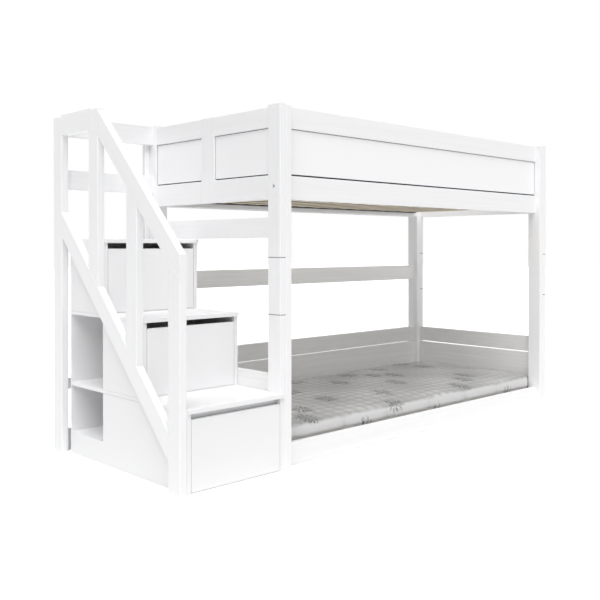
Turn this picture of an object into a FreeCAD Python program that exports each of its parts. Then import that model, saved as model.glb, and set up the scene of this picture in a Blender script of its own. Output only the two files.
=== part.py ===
"""Bunk bed with storage stairs, as a parametric document.

Frame: millimetres, +X along the bed away from the stairs, +Y towards the back,
+Z up, origin on the floor at the centre of the footprint.
"""
import FreeCAD
import Part
import os
import re

from FreeCAD import Vector
import Sketcher

# ---------------------------------------------------------------- driving sizes
DRIVING = [
    # bed frame
    ("mattress_length", 2000, "length of the mattress, which sets the bed's length"),
    ("mattress_width", 900, "width of the mattress, which sets the bed's depth"),
    ("mattress_thick", 136, "thickness of the mattress"),
    ("mattress_play", 2, "gap between the mattress and the boards round it"),
    ("post_over", 4, "outer post planks end this far above the guard rails"),
    ("inner_drop", 6, "how much lower the inner post planks end"),
    ("plank_width", 78, "width of every post plank and railing plank"),
    ("plank_thick", 32, "thickness of every post plank and railing plank"),
    ("upper_joint", 883, "height of the joint under the upper post planks"),
    ("lower_joint", 645, "height of the joint over the lower post planks"),
    ("edge_round", 3, "radius of the rounded long edges of planks, treads and drawer fronts"),
    ("edge_bevel", 2, "bevel on the long edges of rails and wall boards"),
    # side rails and guards of the upper bunk
    ("side_setback", 30, "side rails stand this far inside the post faces"),
    ("side_thick", 22, "thickness of the side rails"),
    ("guard_bottom", 1125, "underside of the upper bunk's frame"),
    ("guard_low_rail", 101, "height of the guard's bottom rail"),
    ("guard_panel", 199, "visible height of the guard's panel"),
    ("guard_top_rail", 91, "height of the guard's top rail"),
    ("panel_thick", 10, "thickness of the guard panels"),
    ("panel_recess", 8, "panels stand this far behind their rails"),
    ("tongue_thick", 5, "thickness of a panel's tongue, which is flush with its inner face"),
    ("groove_depth", 10, "depth of the grooves that the tongues sit in"),
    ("groove_play", 0.4, "how much wider a groove is than the board in it"),
    ("low_reveal", 6, "shadow gap under the face of a panel"),
    ("top_reveal", 2.5, "shadow gap over the face of a panel"),
    ("side_reveal", 3, "shadow gap at each side of the face of a panel"),
    # end frames of the upper bunk
    ("end_setback", 1, "end frames stand this far inside the post faces"),
    ("end_thick", 26, "thickness of the end frames"),
    ("stile_width", 98, "width of the stile in the middle of an end frame"),
    ("end_top_drop", 5, "end frames end this far below the guard rails"),
    ("knee_rail_up", 6, "underside of the rail beside the top step, above that step"),
    ("knee_rail_height", 85, "height of the rail beside the top step"),
    # lower bunk
    ("base_clear", 2, "gap between the base rails and the floor"),
    ("base_height", 98, "height of the base rails"),
    ("back_rail_low", 712, "underside of the back rail over the lower bunk"),
    ("back_rail_height", 91, "height of that back rail"),
    ("wall_board_up", 4, "gap between the back base rail and the wall board over it"),
    ("wall_board_split", 297, "top of the lower wall boards"),
    ("wall_board_slit", 5, "slit between lower and upper wall boards"),
    ("wall_board_top", 394, "top of the upper wall boards"),
    ("wall_board_thick", 14, "thickness of the wall boards at the two ends"),
    # slats and mattress
    ("ledger_width", 24, "width of the ledgers that carry the slats"),
    ("ledger_height", 26, "height of those ledgers"),
    ("ledger_up", 3, "upper ledgers stand this far above the guard's underside"),
    ("base_ledger_up", 30, "lower ledgers stand this far above the base rail's underside"),
    ("slat_width", 68, "width of a slat"),
    ("slat_thick", 18, "thickness of a slat"),
    ("slat_pitch", 113, "distance from slat to slat"),
    ("end_play", 0.8, "gap at each end of a slat, a ledger and a panel's tongue"),
    # stair cabinets
    ("cabinet_width", 475, "width over the cabinet's side panels"),
    ("cabinet_tuck", 18, "cabinet reaches this far under the bed's end plank"),
    ("cabinet_play", 1, "gap between the cabinet and the bed's end boards"),
    ("step_run", 306, "distance from step front to step front"),
    ("step_rise", 320, "height from step top to step top"),
    ("cabinet_rear_gap", 22, "gap between the cabinets' backs and the rear posts"),
    ("tread_thick", 17, "thickness of the treads"),
    ("tread_nose", 10, "overhang of a tread in front of its drawer"),
    ("panel_board", 18, "thickness of side panels, dividers and drawer fronts"),
    ("back_board", 6, "thickness of the cabinet backs"),
    ("plinth_height", 97, "height of the plinth under the open shelf"),
    # drawers
    ("front_gap", 2, "gap beside each drawer front"),
    ("finger_gap", 24, "open finger slot over each drawer front"),
    ("drawer_clear", 4, "gap under each drawer front"),
    ("box_side", 12, "thickness of the drawer box boards"),
    ("box_floor", 6, "thickness of the drawer floors"),
    ("box_up", 14, "lower edge of a drawer box above the front's lower edge"),
    ("box_floor_up", 8, "height of a drawer floor above the box's lower edge"),
    ("floor_groove", 5, "depth of the grooves that hold a drawer floor"),
    ("box_height", 190, "height of the drawer box sides"),
    ("box_room", 25, "free room behind a drawer box"),
    ("slide_gap", 13, "room between a drawer box and a side panel"),
    ("slide_height", 42, "height of a drawer slide"),
    ("slide_wall", 2, "wall of the fixed slide channel"),
    ("slide_play", 0.4, "running clearance inside the slide channel"),
    ("slide_up", 96, "underside of a slide above the drawer front's lower edge"),
    ("slide_end", 8, "slides end this far before the box's rear"),
    ("slide_start", 2, "slides start this far behind the drawer front"),
    # railing
    ("railing_height", 1510, "top of the two tall railing posts"),
    ("handrail_drop", 5, "the handrail's end stands this far below the post's top"),
    ("skirt_rise", 152, "lower sloping rail's upper edge, taken to the stairs' front plane"),
    ("baluster_shift", 6, "baluster and platform post stand this far ahead of a riser"),
    ("platform_rail_over", 9, "level top rails end this far above the railing posts"),
    ("platform_rail", 92, "height of the level top rails"),
    ("platform_mid_low", 1188, "underside of the platform's middle rail"),
    ("platform_mid", 88, "height of the platform's middle rail"),
    ("guard_rail_thick", 28, "thickness of the level rails at the platform"),
    ("guard_rail_back", 23, "level back rails stand this far inside the rear plane"),
    ("rear_low_rail", 96, "height of the rear rail on the floor"),
    ("rear_mid_drop", 41, "underside of the rear middle rail, below the first step's top"),
    ("rear_mid_rail", 46, "height of the rear rail behind the first step"),
    # fittings
    ("bolt_up", 54, "height of the frame bolts above the upper bunk's underside"),
    ("bolt_head", 13, "diameter of a bolt head"),
    ("bolt_recess", 15, "diameter of its counterbore"),
    ("bolt_sink", 3, "depth of the head's face below the plank"),
    ("bolt_head_thick", 4, "thickness of a bolt head"),
    ("hex_key", 6, "key width of the bolt's hexagon socket"),
    ("bolt_shank", 6, "diameter of a bolt's shank"),
    ("bolt_hole", 7, "diameter of the hole it passes through"),
    ("bolt_past", 5, "how far a bolt runs past its nut"),
    ("nut_size", 13, "width and height of the square nuts"),
    ("nut_thick", 6.5, "thickness of the square nuts"),
    ("nut_play", 0.4, "how much wider a pocket is than its nut, and a nut than its bolt"),
    ("nut_distance", 35, "distance of a nut from the end of its rail"),
    ("pocket_length", 24, "length of the pocket in the rail that takes the nut"),
]

# ---------------------------------------------------------------- named places
# Each is worked out from the driving sizes above.
DERIVED = {
    "end_room": "(cabinet_tuck + cabinet_play + wall_board_thick + mattress_play)",
    "side_room": "(side_setback + side_thick + mattress_play)",
    "bed_length": "(mattress_length + 2 * end_room)",
    "bed_depth": "(mattress_width + 2 * side_room)",
    "stair_reach": "(plank_thick + cabinet_width - cabinet_tuck)",
    "bed_left": "((stair_reach - bed_length) / 2)",
    "bed_right": "(bed_left + bed_length)",
    "inner_left": "(bed_left + plank_thick)",
    "inner_right": "(bed_right - plank_thick)",
    "span_left": "(bed_left + 2 * plank_thick)",
    "span_right": "(bed_right - 2 * plank_thick)",
    "span": "(span_right - span_left)",
    "front": "((tread_nose - bed_depth) / 2)",
    "back": "(front + bed_depth)",
    "post_back": "(back - plank_width)",
    "end_span": "(bed_depth - 2 * plank_width)",
    "side_front": "(front + side_setback)",
    "side_back": "(back - side_setback - side_thick)",
    "clear_front": "(side_front + side_thick)",
    "clear_depth": "(side_back - clear_front)",
    "panel_low": "(guard_bottom + guard_low_rail)",
    "top_rail_low": "(panel_low + guard_panel)",
    "guard_top": "(top_rail_low + guard_top_rail)",
    "post_height": "(guard_top + post_over)",
    "bolt_height": "(guard_bottom + bolt_up)",
    "bolt_under_head": "(bolt_sink + bolt_head_thick)",
    "nut_depth": "(2 * plank_thick + nut_distance)",
    "bolt_end": "(nut_depth + nut_thick + bolt_past)",
    "end_left": "(bed_left + end_setback)",
    "end_right": "(bed_right - end_setback - end_thick)",
    "bay": "((end_span - stile_width) / 2)",
    "wall_board_low": "(base_clear + base_height + wall_board_up)",
    "upper_ledger": "(guard_bottom + ledger_up)",
    "lower_ledger": "(base_clear + base_ledger_up)",
    "upper_slats": "(upper_ledger + ledger_height)",
    "lower_slats": "(lower_ledger + ledger_height)",
    "mattress_low": "(lower_slats + slat_thick)",
    "cabinet_right": "(bed_left + cabinet_tuck)",
    "cabinet_left": "(cabinet_right - cabinet_width)",
    "cabinet_inner": "(cabinet_width - 2 * panel_board)",
    "cabinet_back": "(post_back - cabinet_rear_gap)",
    "front_width": "(cabinet_inner - 2 * front_gap)",
    "box_width": "(cabinet_inner - 2 * slide_gap)",
    "divider_y": "(front + 2 * step_run - panel_board / 2)",
    "knee_rail_low": "(3 * step_rise + knee_rail_up)",
    "rail_rise": "(railing_height - handrail_drop - platform_front + front)",
    "platform_rail_top": "(railing_height + platform_rail_over)",
    "rear_mid_low": "(step_rise - rear_mid_drop)",
    "railing_left": "(cabinet_left - plank_thick)",
    "slope_depth": "(plank_width * sqrt(2))",
    "baluster_front": "(front + step_run - baluster_shift)",
    "platform_front": "(front + 2 * step_run - baluster_shift)",
    "guard_front": "(back - guard_rail_back - guard_rail_thick)",
}

doc = FreeCAD.newDocument("bunk_bed_with_stairs")
sheet = doc.addObject("Spreadsheet::Sheet", "Sizes")
for row, (alias, number, meaning) in enumerate(DRIVING, 1):
    sheet.set(f"A{row}", meaning)
    sheet.set(f"B{row}", str(number))
    sheet.setAlias(f"B{row}", alias)
doc.recompute()

ALIASES = {alias for alias, number, meaning in DRIVING}
nodes = {}


def formula(text):
    """Write out the named places, and point each driving size at its cell."""
    def word(match):
        name = match.group(0)
        if name in DERIVED:
            return formula(DERIVED[name])
        return "Sizes." + name if name in ALIASES else name
    return re.sub(r"[a-z_][a-z_0-9]*", word, str(text))


def value(text):
    """The number that a formula gives."""
    return float(sheet.evalExpression(formula(text)))


def place(piece, at):
    for axis, text in zip("xyz", at):
        piece.setExpression("Placement.Base." + axis, formula(text))


def long_edges(shape):
    """Numbers of the edges that run along the piece's longest direction."""
    longest = max(shape.Edges, key=lambda edge: edge.Length)
    along = longest.tangentAt(longest.FirstParameter)
    return [number for number, edge in enumerate(shape.Edges, 1)
            if along.cross(edge.tangentAt(edge.FirstParameter)).Length < 1e-6]


EDGE_SIZES = {"Fillet": "edge_round", "Chamfer": "edge_bevel"}


def board(label, at, size, edges="Fillet"):
    """A straight board: a block with its long edges rounded, bevelled or left sharp."""
    block = doc.addObject("Part::Box", label + "_block")
    for side, text in zip(("Length", "Width", "Height"), size):
        block.setExpression(side, formula(text))
    place(block, at)
    block.recompute()
    if not edges:
        block.Label = label
        return block
    cut_back = min(value(EDGE_SIZES[edges]), min(value(text) for text in size) / 3)
    piece = doc.addObject("Part::" + edges, label)
    piece.Base = block
    piece.Edges = [(number, cut_back, cut_back) for number in long_edges(block.Shape)]
    piece.recompute()
    return piece


def upright(label, facing, depth, along, height, edges=None):
    """A board on edge that faces along x or y. The other three are each a start and a size."""
    first, second = (depth, along) if facing == "x" else (along, depth)
    at, size = zip(first, second, height)
    return board(label, at, size, edges)


def rod(label, at, axis, diameter, length):
    """A round bar or drill that starts here and runs along an axis."""
    bar = doc.addObject("Part::Cylinder", label)
    bar.setExpression("Radius", formula(f"{diameter} / 2"))
    bar.setExpression("Height", formula(length))
    bar.Placement.Rotation = FreeCAD.Rotation(Vector(0, 0, 1), Vector(*axis))
    place(bar, at)
    return bar


def joined(label, pieces):
    """Several solids made one."""
    whole = doc.addObject("Part::MultiFuse", label)
    whole.Shapes = pieces
    whole.Refine = True
    return whole


def cut(label, piece, tools):
    """The piece, less its drills, grooves or slots."""
    less = doc.addObject("Part::Cut", label)
    less.Base = piece
    less.Tool = tools[0] if len(tools) == 1 else joined(label + "_tools", tools)
    return less


def profile(label, plane, corners, depth, at, rounded=True):
    """A body padded from one closed outline; each corner is two formulas."""
    body = doc.addObject("PartDesign::Body", label)
    place(body, at)
    sketch = body.newObject("Sketcher::SketchObject", label + "_outline")
    base = [part for part in body.Origin.OriginFeatures if part.Role == plane][0]
    sketch.AttachmentSupport = [(base, "")]
    sketch.MapMode = "FlatFace"
    spots = [Vector(value(across), value(up), 0) for across, up in corners]
    for start, end in zip(spots, spots[1:] + spots[:1]):
        sketch.addGeometry(Part.LineSegment(start, end), False)
    for index in range(len(corners)):
        following = (index + 1) % len(corners)
        sketch.addConstraint(Sketcher.Constraint("Coincident", index, 2, following, 1))
    for index, corner in enumerate(corners):
        for kind, spot, text in zip(("DistanceX", "DistanceY"), spots[index], corner):
            number = sketch.addConstraint(Sketcher.Constraint(kind, -1, 1, index, 1, spot))
            sketch.setExpression(f"Constraints[{number}]", formula(text))
    pad = body.newObject("PartDesign::Pad", label + "_pad")
    pad.Profile = sketch
    pad.setExpression("Length", formula(depth))
    doc.recompute()
    if rounded:
        fillet = body.newObject("PartDesign::Fillet", label + "_edges")
        fillet.Base = (pad, [f"Edge{number}" for number in long_edges(pad.Shape)])
        fillet.setExpression("Radius", formula("edge_round"))
        doc.recompute()
    return body


def node(label, pieces):
    """Name one sub-part: a single piece, or a set of like pieces."""
    if len(pieces) == 1:
        piece = pieces[0]
    else:
        piece = doc.addObject("Part::Compound", label)
        piece.Links = pieces
    piece.Label = label
    nodes[label] = piece
    return piece


# ---------------------------------------------------------------- bed posts
# Each post is two planks side by side: an inner one in one length, and an
# outer one in three lengths. Beside the stairs the lowest outer length is a
# thin one, because the first cabinet stands in its place.
CORNERS = {
    f"{side}_{end}": (outer_x, inner_x, y)
    for side, y in (("front", "front"), ("back", "post_back"))
    for end, outer_x, inner_x in (("left", "bed_left", "inner_left"),
                                  ("right", "inner_right", "span_right"))
}
upper_planks, middle_planks, lower_planks, bolts = [], [], [], []
rail_cuts = {"front": [], "back": []}


def frame_bolt(corner, face_x, inward, y):
    """A bolt with a sunk hexagon head, and the square nut that draws the rail up to it."""
    along = (inward, 0, 0)
    under_head = (f"{face_x} + {inward} * bolt_under_head", y, "bolt_height")
    sunk = (f"{face_x} + {inward} * bolt_sink", y, "bolt_height")
    head = rod("bolt_head_" + corner, sunk, along, "bolt_head", "bolt_head_thick")
    shank = rod("bolt_shank_" + corner, under_head, along, "bolt_shank",
                "bolt_end - bolt_under_head")
    socket = doc.addObject("Part::Prism", "bolt_socket_" + corner)
    socket.Polygon = 6
    socket.setExpression("Circumradius", formula("hex_key / sqrt(3)"))
    socket.setExpression("Height", formula("bolt_head_thick / 2"))
    socket.Placement.Rotation = head.Placement.Rotation
    place(socket, sunk)
    bolt = cut("bolt_" + corner, joined("bolt_blank_" + corner, [head, shank]), [socket])

    near_x, far_x = sorted((f"{face_x} + {inward} * nut_depth",
                            f"{face_x} + {inward} * (nut_depth + nut_thick)"), key=value)
    nut = board("nut_blank_" + corner, (near_x, f"{y} - nut_size / 2", "bolt_height - nut_size / 2"),
                ("nut_thick", "nut_size", "nut_size"), None)
    bore = rod("nut_bore_" + corner, (near_x, y, "bolt_height"), (1, 0, 0),
               "(bolt_shank + nut_play)", f"{far_x} - ({near_x})")
    return [bolt, cut("nut_" + corner, nut, [bore])]


def nut_pocket(corner, face_x, inward, y, side):
    """The pocket for the nut, open to the inner face of the rail."""
    near_x = min(f"{face_x} + {inward} * nut_depth",
                 f"{face_x} + {inward} * (nut_depth + pocket_length)", key=value)
    low_y = f"{y} - nut_size / 2" if side == "front" else "side_back"
    return board("nut_pocket_" + corner,
                 (near_x, low_y, "bolt_height - (nut_size + nut_play) / 2"),
                 ("pocket_length", "(side_thick + nut_size) / 2", "nut_size + nut_play"), None)


for corner, (outer_x, inner_x, y) in CORNERS.items():
    side, end = corner.split("_")
    face_x, inward = (("bed_left", 1) if end == "left" else ("bed_right", -1))
    bolt_y = f"(side_{side} + side_thick / 2)"
    bolts += frame_bolt(corner, face_x, inward, bolt_y)
    drill = rod("bolt_drill_" + corner, (face_x, bolt_y, "bolt_height"), (inward, 0, 0),
                "bolt_hole", "bolt_end")
    recess = rod("recess_drill_" + corner, (face_x, bolt_y, "bolt_height"), (inward, 0, 0),
                 "bolt_recess", "bolt_under_head")
    rail_cuts[side] += [drill, nut_pocket(corner, face_x, inward, bolt_y, side)]

    name = "post_inner_" + corner
    inner = board(name + "_blank", (inner_x, y, 0),
                  ("plank_thick", "plank_width", "post_height - inner_drop"))
    node(name, [cut(name, inner, [drill])])
    upper = board("upper_blank_" + corner, (outer_x, y, "upper_joint"),
                  ("plank_thick", "plank_width", "post_height - upper_joint"))
    upper_planks.append(cut("upper_" + corner, upper, [drill, recess]))

    beside_stairs = corner == "front_left"
    foot = "step_rise" if beside_stairs else "0"
    middle_planks.append(board("middle_" + corner, (outer_x, y, "lower_joint"),
                               ("plank_thick", "plank_width", "upper_joint - lower_joint")))
    lower_planks.append(board("lower_" + corner, (outer_x, y, foot),
                              ("plank_thick", "plank_width", f"lower_joint - {foot}")))
    if beside_stairs:
        lower_planks.append(board("filler_" + corner, ("cabinet_right", y, 0),
                                  ("plank_thick - cabinet_tuck", "plank_width", "step_rise")))

node("post_outer_upper_planks", upper_planks)
node("post_outer_middle_planks", middle_planks)
node("post_outer_lower_planks", lower_planks)
node("frame_bolts", bolts)


# ---------------------------------------------------------------- upper bunk sides
# Front and back guards: two grooved rails, with a panel whose tongues sit in
# the grooves. Bolts from the posts draw the bottom rails up at both ends.
def grooved_rail(label, facing, depth, along, height, tongue, groove_low, cuts=()):
    """A rail with a groove along it for the tongue of a panel."""
    tongue_at, tongue_size = tongue
    blank = upright(label + "_blank", facing, depth, along, height, "Chamfer")
    groove = upright(label + "_groove", facing,
                     (f"{tongue_at} - groove_play / 2", f"{tongue_size} + groove_play"), along,
                     (groove_low, "groove_depth"))
    return cut(label, blank, [groove, *cuts])


def tongued_panel(label, facing, face, tongue, along):
    """A panel that stands on its lower tongue, with a shadow gap round its face."""
    start, run = along
    plate = upright(label + "_plate", facing, face,
                    (f"{start} + side_reveal", f"{run} - 2 * side_reveal"),
                    ("panel_low + low_reveal", "guard_panel - low_reveal - top_reveal"))
    tongues = upright(label + "_tongues", facing, tongue,
                      (f"{start} + end_play", f"{run} - 2 * end_play"),
                      ("panel_low - groove_depth",
                       "guard_panel + 2 * groove_depth - groove_play"))
    return joined(label, [plate, tongues])


def side_rail(label, y, low, height):
    return board(label, ("span_left", y, low), ("span", "side_thick", height), "Chamfer")


for side, y, panel_y, tongue_y in (
    ("front", "side_front", "side_front + panel_recess",
     "side_front + panel_recess + panel_thick - tongue_thick"),
    ("back", "side_back", "side_back + side_thick - panel_recess - panel_thick",
     "side_back + side_thick - panel_recess - panel_thick"),
):
    guard = f"guard_{side}"
    rail, tongue, along = (y, "side_thick"), (tongue_y, "tongue_thick"), ("span_left", "span")
    node(guard + "_bottom_rail", [grooved_rail(
        guard + "_bottom_rail", "y", rail, along, ("guard_bottom", "guard_low_rail"), tongue,
        "panel_low - groove_depth", rail_cuts[side])])
    node(guard + "_top_rail", [grooved_rail(
        guard + "_top_rail", "y", rail, along, ("top_rail_low", "guard_top_rail"), tongue,
        "top_rail_low")])
    node(guard + "_panel", [tongued_panel(
        guard + "_panel", "y", (panel_y, "panel_thick"), tongue, along)])


# ---------------------------------------------------------------- upper bunk ends
# Each end frame has two bays, closed by the same kind of panel, with a stile between.
def end_frame(end, x, panel_x, tongue_x):
    label = "end_" + end
    end_y = "front + plank_width"
    rail, tongue = (x, "end_thick"), (tongue_x, "tongue_thick")
    rails, panels = [], []
    for number, bay_y in enumerate((end_y, f"{end_y} + bay + stile_width"), 1):
        rails.append(grooved_rail(
            f"{label}_low_{number}", "x", rail, (bay_y, "bay"),
            ("guard_bottom", "guard_low_rail"), tongue, "panel_low - groove_depth"))
        rails.append(grooved_rail(
            f"{label}_top_{number}", "x", rail, (bay_y, "bay"),
            ("top_rail_low", "guard_top_rail - end_top_drop"), tongue, "top_rail_low"))
        panels.append(tongued_panel(f"{label}_panel_{number}", "x", (panel_x, "panel_thick"),
                                    tongue, (bay_y, "bay")))
    node(label + "_rails", rails)
    node(label + "_panels", panels)
    stile = board(label + "_stile", (x, f"{end_y} + bay", "guard_bottom"),
                  ("end_thick", "stile_width", "guard_top - end_top_drop - guard_bottom"),
                  "Chamfer")
    node(label + "_stile", [stile])


right_panel_x = "end_right + end_thick - panel_recess - panel_thick"
end_frame("left", "end_left", "end_left + panel_recess",
          "end_left + panel_recess + panel_thick - tongue_thick")
end_frame("right", "end_right", right_panel_x, right_panel_x)
node("knee_rail", [board("knee_rail", ("end_left", "front + plank_width", "knee_rail_low"),
                         ("end_thick", "end_span", "knee_rail_height"), "Chamfer")])

# ---------------------------------------------------------------- lower bunk frame
node("base_rail_front", [side_rail("base_rail_front", "side_front", "base_clear", "base_height")])
node("base_rail_back", [side_rail("base_rail_back", "side_back", "base_clear", "base_height")])
node("back_rail", [side_rail("back_rail", "side_back", "back_rail_low", "back_rail_height")])


def wall_boards(label, at_x, at_y, low, size_x, size_y):
    """Two boards, one over the other, with a narrow slit between them."""
    upper_low = "wall_board_split + wall_board_slit"
    return node(label, [
        board(label + "_lower", (at_x, at_y, low),
              (size_x, size_y, f"wall_board_split - {low}"), "Chamfer"),
        board(label + "_upper", (at_x, at_y, upper_low),
              (size_x, size_y, f"wall_board_top - ({upper_low})"), "Chamfer"),
    ])


wall_boards("wall_boards_back", "span_left", "side_back", "wall_board_low", "span", "side_thick")
wall_boards("wall_boards_left", "cabinet_right + cabinet_play", "front + plank_width", "base_clear",
            "wall_board_thick", "end_span")
wall_boards("wall_boards_right", "bed_right - cabinet_tuck - cabinet_play - wall_board_thick",
            "front + plank_width", "base_clear", "wall_board_thick", "end_span")


# ---------------------------------------------------------------- slats
def slat_base(level, ledger_low, slat_low):
    """Two ledgers on the side rails, and a row of slats across them."""
    size = ("span - 2 * end_play", "ledger_width", "ledger_height")
    node(level + "_ledgers", [
        board(f"{level}_ledger_{side}", ("span_left + end_play", y, ledger_low), size, "Chamfer")
        for side, y in (("front", "clear_front"), ("back", "side_back - ledger_width"))])
    count = int((value("span") - value("slat_width")) // value("slat_pitch")) + 1
    row = f"({count - 1} * slat_pitch + slat_width)"
    slats = [board(f"{level}_slat_{index + 1}",
                   (f"span_left + (span - {row}) / 2 + {index} * slat_pitch",
                    "clear_front + end_play", slat_low),
                   ("slat_width", "clear_depth - 2 * end_play", "slat_thick"), edges=None)
             for index in range(count)]
    node(level + "_slats", slats)


slat_base("upper", "upper_ledger", "upper_slats")
slat_base("lower", "lower_ledger", "lower_slats")

# ---------------------------------------------------------------- mattress
# Its corners give way round the inner post planks.
notch_x = "(2 * plank_thick - end_room + mattress_play)"
notch_y = "(plank_width - side_setback - side_thick)"
far_x = f"(mattress_length - {notch_x})"
far_y = f"(mattress_width - {notch_y})"
node("mattress", [profile(
    "mattress", "XY_Plane",
    [(notch_x, 0), (far_x, 0), (far_x, notch_y), ("mattress_length", notch_y),
     ("mattress_length", far_y), (far_x, far_y), (far_x, "mattress_width"),
     (notch_x, "mattress_width"), (notch_x, far_y), (0, far_y), (0, notch_y),
     (notch_x, notch_y)],
    "mattress_thick",
    ("bed_left + end_room", "clear_front + mattress_play", "mattress_low"),
    rounded=False)])

# ---------------------------------------------------------------- stair cabinets
# Three cabinets stand on each other like steps. The two lower ones run on to
# the back, where they are open to the left as shelves.
step_fronts = [f"(front + {step} * step_run)" for step in range(3)]
step_lows = [f"({step} * step_rise)" for step in range(3)]
side_height = "(step_rise - tread_thick)"

left_panels, right_panels, dividers, backs = [], [], [], []
for step, (y, low) in enumerate(zip(step_fronts, step_lows), 1):
    depth = f"cabinet_back - {y}"
    shelf_step = step < 3
    left_depth = f"divider_y + panel_board - {y}" if shelf_step else depth
    left_panels.append(board(f"left_panel_{step}", ("cabinet_left", y, low),
                             ("panel_board", left_depth, side_height), edges=None))
    right_panels.append(board(f"right_panel_{step}", ("cabinet_right - panel_board", y, low),
                              ("panel_board", depth, side_height), edges=None))
    back_left = "cabinet_left" if shelf_step else "cabinet_left + panel_board"
    backs.append(board(f"back_{step}", (back_left, "cabinet_back - back_board", low),
                       (f"cabinet_right - panel_board - ({back_left})", "back_board",
                        side_height), edges=None))
    if shelf_step:
        dividers.append(board(f"divider_{step}", ("cabinet_left + panel_board", "divider_y", low),
                              ("cabinet_inner", "panel_board", side_height), edges=None))
    tread = board(f"tread_{step}", ("cabinet_left", f"{y} - tread_nose",
                                    f"{low} + step_rise - tread_thick"),
                  ("cabinet_width", f"{depth} + tread_nose", "tread_thick"))
    node(f"tread_{step}", [tread])

node("cabinet_left_panels", left_panels)
node("cabinet_right_panels", right_panels)
node("cabinet_dividers", dividers)
node("cabinet_backs", backs)

shelf_y = "divider_y + panel_board"
shelf_depth = f"cabinet_back - back_board - ({shelf_y})"
node("shelf_plinth", [
    board("plinth_board", ("cabinet_left", shelf_y, 0),
          ("panel_board", shelf_depth, "plinth_height"), edges=None),
    board("plinth_floor", ("cabinet_left + panel_board", shelf_y, "plinth_height - panel_board"),
          ("cabinet_inner", shelf_depth, "panel_board"), edges=None)])


# ---------------------------------------------------------------- drawers
def slide_channel(label, x, y, low, length, opening):
    """Fixed half of a drawer slide: a channel open towards the drawer."""
    wide, high, wall = "slide_gap - slide_play", "slide_height", "slide_wall"
    outline = [("0", "0"), (wide, "0"), (wide, wall), (wall, wall),
               (wall, f"{high} - {wall}"), (wide, f"{high} - {wall}"), (wide, high), ("0", high)]
    if opening < 0:
        outline = [(f"-({across})", up) for across, up in reversed(outline)]
    return profile(label, "XZ_Plane", outline, length, (x, f"{y} + {length}", low), rounded=False)


def drawer(step, rear_wall):
    """One drawer, and the two fixed channels it runs in. rear_wall is the face
    of the board that closes its cabinet behind the box."""
    y, low = step_fronts[step - 1], f"({step_lows[step - 1]} + drawer_clear)"
    name = f"drawer_{step}"
    front_x = "(cabinet_left + panel_board + front_gap)"
    node(name + "_front", [board(
        name + "_front", (front_x, y, low),
        ("front_width", "panel_board", "step_rise - tread_thick - finger_gap - drawer_clear"))])

    box_x = "(cabinet_left + panel_board + slide_gap)"
    box_y = f"({y} + panel_board)"
    box_low = f"({low} + box_up)"
    floor_low = f"({box_low} + box_floor_up)"
    box_depth = f"({rear_wall} - box_room - {box_y})"
    inner = "box_width - 2 * box_side"
    groove = board(name + "_grooves",
                   (f"{box_x} + box_side - floor_groove", box_y,
                    f"{floor_low} - groove_play / 2"),
                   (f"{inner} + 2 * floor_groove", box_depth, "box_floor + groove_play"), None)
    sides = [cut(f"{name}_side_{hand}",
                 board(f"{name}_side_blank_{hand}", (x, box_y, box_low),
                       ("box_side", box_depth, "box_height"), None), [groove])
             for hand, x in (("left", box_x), ("right", f"{box_x} + box_width - box_side"))]
    floor = board(name + "_floor",
                  (f"{box_x} + box_side - floor_groove + groove_play / 2", box_y, floor_low),
                  (f"{inner} + 2 * floor_groove - groove_play", box_depth, "box_floor"), None)
    rear = board(name + "_rear", (f"{box_x} + box_side", f"{box_y} + {box_depth} - box_side",
                                  f"{floor_low} + box_floor"),
                 (inner, "box_side", "box_height - box_floor_up - box_floor"), None)
    node(name + "_box", sides + [rear, floor])

    slide_y = f"({box_y} + slide_start)"
    slide_length = f"({box_depth} - slide_start - slide_end)"
    slide_low = f"({low} + slide_up)"
    left_wall = "(cabinet_left + panel_board)"
    right_wall = "(cabinet_right - panel_board)"
    runner_size = ("slide_gap - slide_wall - slide_play", slide_length,
                   "slide_height - 2 * slide_wall - 2 * slide_play")
    runner_low = f"{slide_low} + slide_wall + slide_play"
    runners = [board(f"{name}_runner_{hand}", (x, slide_y, runner_low), runner_size, edges=None)
               for hand, x in (("left", f"{left_wall} + slide_wall + slide_play"),
                               ("right", f"{right_wall} - slide_gap"))]
    node(name + "_runners", runners)
    return [slide_channel(f"{name}_channel_left", left_wall, slide_y, slide_low,
                          slide_length, 1),
            slide_channel(f"{name}_channel_right", right_wall, slide_y, slide_low,
                          slide_length, -1)]


channels = drawer(1, "divider_y") + drawer(2, "divider_y")
channels += drawer(3, "(cabinet_back - back_board)")
node("slide_channels", channels)


# ---------------------------------------------------------------- railing
# The planks of the railing stand against the cabinets' left side. Both long
# rails climb at 45 degrees, as steeply as the steps.
def railing_plank(label, corners):
    """A railing plank, given by its outline seen from the left."""
    return node(label, [profile(label, "YZ_Plane", corners, "plank_thick",
                                ("railing_left", 0, 0))])


def on_slope(y, rise):
    """A corner on the 45 degree line that starts at this rise at the front."""
    return (y, f"{y} - front + {rise}")


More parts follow.
